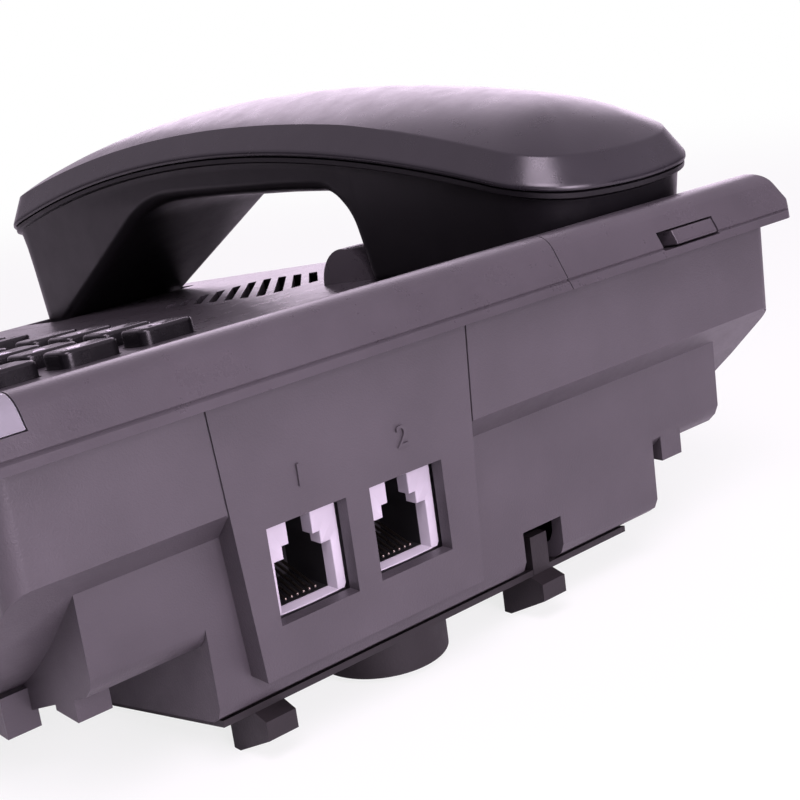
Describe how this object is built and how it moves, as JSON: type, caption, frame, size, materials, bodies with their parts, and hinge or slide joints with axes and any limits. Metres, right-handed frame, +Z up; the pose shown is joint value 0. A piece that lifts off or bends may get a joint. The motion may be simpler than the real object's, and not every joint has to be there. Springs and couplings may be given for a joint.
{
  "type": "corded telephone",
  "caption": "Desk telephone with a sloped push-key deck, a lift-off handset resting in a cradle, a stepped rear housing with line sockets, and a stand adaptor below.",
  "frame": {"origin": "on the table under the middle of the overall box", "axes": "+X to the right of the person using the telephone, +Y to the rear where the line sockets are, +Z up"},
  "size_m": [0.154, 0.207, 0.0815],
  "materials": {
    "shell_black": "satin moulded plastic with a fine spark-eroded grain on the lower walls",
    "adaptor_black": "matt moulded plastic",
    "foot_rubber": "matt rubber",
    "lens_clear": "clear moulded plastic, frosted inside",
    "socket_white": "pale grey-white moulded plastic",
    "socket_black": "black moulded plastic",
    "contact_gold": "gold-plated spring wire",
    "board_green": "green solder mask",
    "mat_rubber": "matt silicone rubber",
    "inner_black": "matt plastic",
    "key_black": "glossy dished key plastic",
    "screw_steel": "zinc-plated steel",
    "weight_iron": "plain iron"
  },
  "bodies": {
    "base": {"lower_housing": "shell_black", "keypad_cover": "shell_black", "cradle_cover": "shell_black", "lamp_lens": "lens_clear", "stand_adaptor": "adaptor_black", "front_feet": "foot_rubber", "line_jack_1": "socket_white", "line_jack_2": "socket_white", "line_contacts_1": "contact_gold", "line_contacts_2": "contact_gold", "cord_jack": "socket_black", "cord_contacts": "contact_gold", "main_board": "board_green", "key_board": "board_green", "key_mat": "mat_rubber", "loudspeaker": "inner_black", "hook_switch": "inner_black", "housing_screws": "screw_steel", "board_screws": "screw_steel"},
    "handset": {"handset_top": "shell_black", "handset_bottom": "shell_black", "receiver": "inner_black", "microphone": "screw_steel", "handset_weight": "weight_iron", "handset_jack": "socket_black", "handset_contacts": "contact_gold", "handset_screws": "screw_steel"},
    "hook_plunger": {"hook_plunger": "key_black"},
    "ringer_slider": {"ringer_slider": "key_black"},
    "key_1": {"key_1": "key_black"},
    "key_2": {"key_2": "key_black"},
    "key_3": {"key_3": "key_black"},
    "key_4": {"key_4": "key_black"},
    "key_5": {"key_5": "key_black"},
    "key_6": {"key_6": "key_black"},
    "key_7": {"key_7": "key_black"},
    "key_8": {"key_8": "key_black"},
    "key_9": {"key_9": "key_black"},
    "key_star": {"key_star": "key_black"},
    "key_0": {"key_0": "key_black"},
    "key_hash": {"key_hash": "key_black"},
    "key_flash": {"key_flash": "key_black"},
    "key_redial": {"key_redial": "key_black"},
    "key_pause": {"key_pause": "key_black"},
    "key_m1": {"key_m1": "key_black"},
    "key_m2": {"key_m2": "key_black"},
    "key_m3": {"key_m3": "key_black"}
  },
  "joints": [
    {"name": "handset_lift", "type": "slide", "parent": "base", "child": "handset", "axis": [0, -0.1392, 0.9903], "range_m": [0, 0.06]},
    {"name": "hook_travel", "type": "slide", "parent": "base", "child": "hook_plunger", "axis": [0, -0.1392, 0.9903], "range_m": [0, 0.004]},
    {"name": "ringer_slide", "type": "slide", "parent": "base", "child": "ringer_slider", "axis": [1, 0, 0], "range_m": [0, 0.0032]},
    {"name": "key_1_press", "type": "slide", "parent": "base", "child": "key_1", "axis": [0, 0.1392, -0.9903], "range_m": [0, 0.0012], "stiffness_N_per_m": 150, "springref_m": -0.0004},
    {"name": "key_2_press", "type": "slide", "parent": "base", "child": "key_2", "axis": [0, 0.1392, -0.9903], "range_m": [0, 0.0012], "stiffness_N_per_m": 150, "springref_m": -0.0004},
    {"name": "key_3_press", "type": "slide", "parent": "base", "child": "key_3", "axis": [0, 0.1392, -0.9903], "range_m": [0, 0.0012], "stiffness_N_per_m": 150, "springref_m": -0.0004},
    {"name": "key_4_press", "type": "slide", "parent": "base", "child": "key_4", "axis": [0, 0.1392, -0.9903], "range_m": [0, 0.0012], "stiffness_N_per_m": 150, "springref_m": -0.0004},
    {"name": "key_5_press", "type": "slide", "parent": "base", "child": "key_5", "axis": [0, 0.1392, -0.9903], "range_m": [0, 0.0012], "stiffness_N_per_m": 150, "springref_m": -0.0004},
    {"name": "key_6_press", "type": "slide", "parent": "base", "child": "key_6", "axis": [0, 0.1392, -0.9903], "range_m": [0, 0.0012], "stiffness_N_per_m": 150, "springref_m": -0.0004},
    {"name": "key_7_press", "type": "slide", "parent": "base", "child": "key_7", "axis": [0, 0.1392, -0.9903], "range_m": [0, 0.0012], "stiffness_N_per_m": 150, "springref_m": -0.0004},
    {"name": "key_8_press", "type": "slide", "parent": "base", "child": "key_8", "axis": [0, 0.1392, -0.9903], "range_m": [0, 0.0012], "stiffness_N_per_m": 150, "springref_m": -0.0004},
    {"name": "key_9_press", "type": "slide", "parent": "base", "child": "key_9", "axis": [0, 0.1392, -0.9903], "range_m": [0, 0.0012], "stiffness_N_per_m": 150, "springref_m": -0.0004},
    {"name": "key_star_press", "type": "slide", "parent": "base", "child": "key_star", "axis": [0, 0.1392, -0.9903], "range_m": [0, 0.0012], "stiffness_N_per_m": 150, "springref_m": -0.0004},
    {"name": "key_0_press", "type": "slide", "parent": "base", "child": "key_0", "axis": [0, 0.1392, -0.9903], "range_m": [0, 0.0012], "stiffness_N_per_m": 150, "springref_m": -0.0004},
    {"name": "key_hash_press", "type": "slide", "parent": "base", "child": "key_hash", "axis": [0, 0.1392, -0.9903], "range_m": [0, 0.0012], "stiffness_N_per_m": 150, "springref_m": -0.0004},
    {"name": "key_flash_press", "type": "slide", "parent": "base", "child": "key_flash", "axis": [0, 0.1392, -0.9903], "range_m": [0, 0.0012], "stiffness_N_per_m": 150, "springref_m": -0.0004},
    {"name": "key_redial_press", "type": "slide", "parent": "base", "child": "key_redial", "axis": [0, 0.1392, -0.9903], "range_m": [0, 0.0012], "stiffness_N_per_m": 150, "springref_m": -0.0004},
    {"name": "key_pause_press", "type": "slide", "parent": "base", "child": "key_pause", "axis": [0, 0.1392, -0.9903], "range_m": [0, 0.0012], "stiffness_N_per_m": 150, "springref_m": -0.0004},
    {"name": "key_m1_press", "type": "slide", "parent": "base", "child": "key_m1", "axis": [0, 0.1392, -0.9903], "range_m": [0, 0.0012], "stiffness_N_per_m": 150, "springref_m": -0.0004},
    {"name": "key_m2_press", "type": "slide", "parent": "base", "child": "key_m2", "axis": [0, 0.1392, -0.9903], "range_m": [0, 0.0012], "stiffness_N_per_m": 150, "springref_m": -0.0004},
    {"name": "key_m3_press", "type": "slide", "parent": "base", "child": "key_m3", "axis": [0, 0.1392, -0.9903], "range_m": [0, 0.0012], "stiffness_N_per_m": 150, "springref_m": -0.0004}
  ],
  "couplings": [
    {"joint": "hook_travel", "follows": "handset_lift", "ratio": 0.066667}
  ]
}
